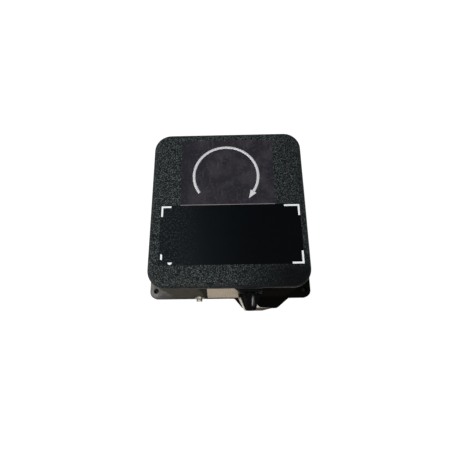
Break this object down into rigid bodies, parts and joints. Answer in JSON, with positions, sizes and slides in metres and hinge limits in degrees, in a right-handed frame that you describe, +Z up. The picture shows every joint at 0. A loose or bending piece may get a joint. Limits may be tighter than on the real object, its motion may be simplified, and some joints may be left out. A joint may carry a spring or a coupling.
{
  "type": "rate of turn sensor",
  "caption": "Flange-mounted black box with a spring-restrained rate gyro, shallow wrinkle-painted cover, front connector with dust cap and a ground terminal.",
  "frame": {"origin": "centre of the four mounting holes on the flange's underside", "axes": "+Z up through the cover along the turn axis that is measured, -Y towards the connector, +X to the right seen from the connector side"},
  "size_m": [0.144, 0.1361, 0.0791],
  "materials": {
    "housing_enamel": "smooth semi-gloss black enamel over an aluminium casting",
    "cover_wrinkle": "fine black wrinkle paint",
    "decal_black": "glossy black foil with bare corner marks",
    "decal_purple_black": "satin dark foil with a pale rotation arrow",
    "crepe_tape": "beige crepe tape",
    "seal_rubber": "moulded, matt",
    "screw_steel": "bright passivated",
    "connector_alloy": "black anodised",
    "insert_plastic": "moulded insulator",
    "contact_gold": "plated contacts",
    "cap_plastic": "moulded, high gloss",
    "frame_alloy": "machined",
    "ground_steel": "ground",
    "rotor_alloy": "turned heavy alloy",
    "lamination_steel": "stacked laminations",
    "enamelled_wire": "varnished copper winding",
    "magnet_ferrite": "ground magnet alloy",
    "vane_copper": "bare copper sheet",
    "board_laminate": "varnished glass laminate",
    "can_alloy": "drawn can",
    "part_body": "moulded body",
    "trimmer_blue": "moulded case"
  },
  "bodies": {
    "housing": {"arrow_decal": "decal_purple_black", "board_screws": "screw_steel", "board_spacers": "contact_gold", "connector_gasket": "seal_rubber", "connector_insert": "insert_plastic", "connector_pins": "contact_gold", "connector_screws": "screw_steel", "connector_shell": "connector_alloy", "cover": "cover_wrinkle", "cover_gasket": "seal_rubber", "cover_screws": "screw_steel", "damper_magnets": "magnet_ferrite", "frame_screws": "screw_steel", "front_tape": "crepe_tape", "gimbal_bearings": "ground_steel", "ground_screw": "screw_steel", "ground_washer": "screw_steel", "gyro_frame": "frame_alloy", "housing": "housing_enamel", "limit_stops": "ground_steel", "lower_decal": "decal_black", "pickoff_coils": "enamelled_wire", "pickoff_stator": "lamination_steel", "power_board": "board_laminate", "power_capacitors": "can_alloy", "resistors": "part_body", "signal_board": "board_laminate", "torsion_clamp": "frame_alloy", "transformer_core": "lamination_steel", "transformer_winding": "enamelled_wire", "transistors": "can_alloy", "trimmers": "trimmer_blue"},
    "gimbal": {"gimbal": "frame_alloy", "gimbal_pivots": "ground_steel", "torsion_bar": "ground_steel", "spin_shaft": "ground_steel", "shaft_nuts": "screw_steel", "spin_bearings": "ground_steel", "motor_stator": "lamination_steel", "motor_windings": "enamelled_wire", "pickoff_armature": "lamination_steel", "damper_vane": "vane_copper", "balance_weights": "contact_gold"},
    "rotor": {"rotor_rim": "rotor_alloy", "rotor_end_bells": "frame_alloy", "hysteresis_ring": "lamination_steel"},
    "dust_cap": {"dust_cap": "cap_plastic"}
  },
  "joints": [
    {"name": "gimbal_tilt", "type": "hinge", "parent": "housing", "child": "gimbal", "pos_m": [0, 0.02, 0.038], "axis": [1, 0, 0], "range_deg": [-4.5, 4.5], "stiffness_Nm_per_rad": 0.5},
    {"name": "rotor_spin", "type": "hinge", "parent": "gimbal", "child": "rotor", "pos_m": [0, 0.02, 0.038], "axis": [0, 1, 0], "continuous": true},
    {"name": "dust_cap_pull", "type": "slide", "parent": "housing", "child": "dust_cap", "axis": [0, -1, 0], "range_m": [0, 0.025]}
  ]
}
